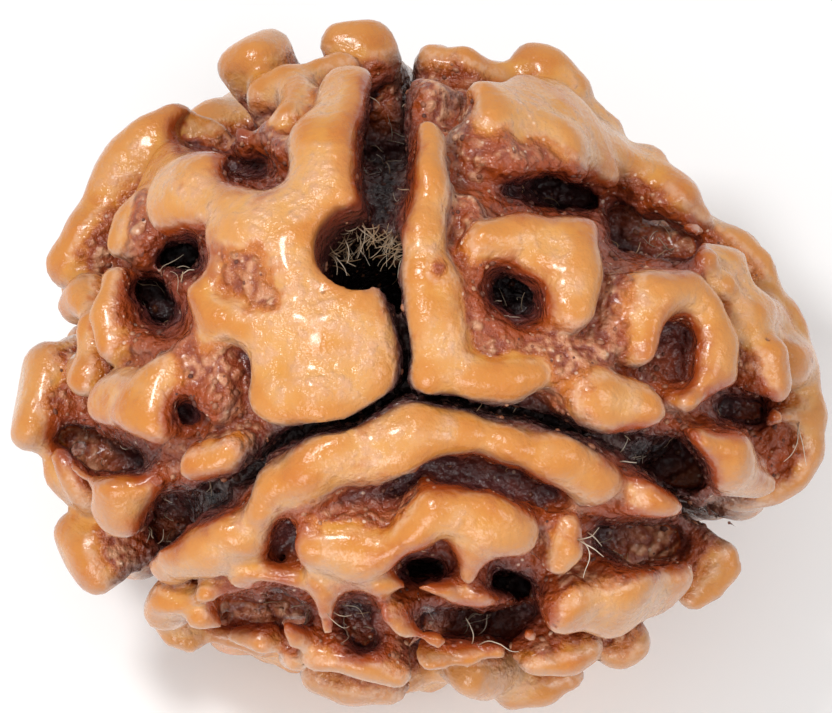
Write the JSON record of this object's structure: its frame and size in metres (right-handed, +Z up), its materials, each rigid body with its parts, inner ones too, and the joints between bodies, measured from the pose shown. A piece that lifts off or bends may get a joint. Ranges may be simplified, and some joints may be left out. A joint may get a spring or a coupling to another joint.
{
  "type": "rudraksha seed",
  "caption": "Round hard seed with a dense relief of rounded ridges and knobs, deep thin clefts that meet near the top, and a threading bore right through it.",
  "frame": {"origin": "middle of the plan, on the plane of the three small flats that the seed rests on", "axes": "+Z up out of the ridged upper face, within a few degrees of the threading bore; +X along the longest side, to the right in the view from above; +Y away from the viewer"},
  "size_m": [0.0202, 0.017, 0.0164],
  "materials": {
    "seed": "oiled, waxy sheen, reddish brown in the valleys"
  },
  "bodies": {
    "root": {"seed": "seed"}
  },
  "joints": []
}
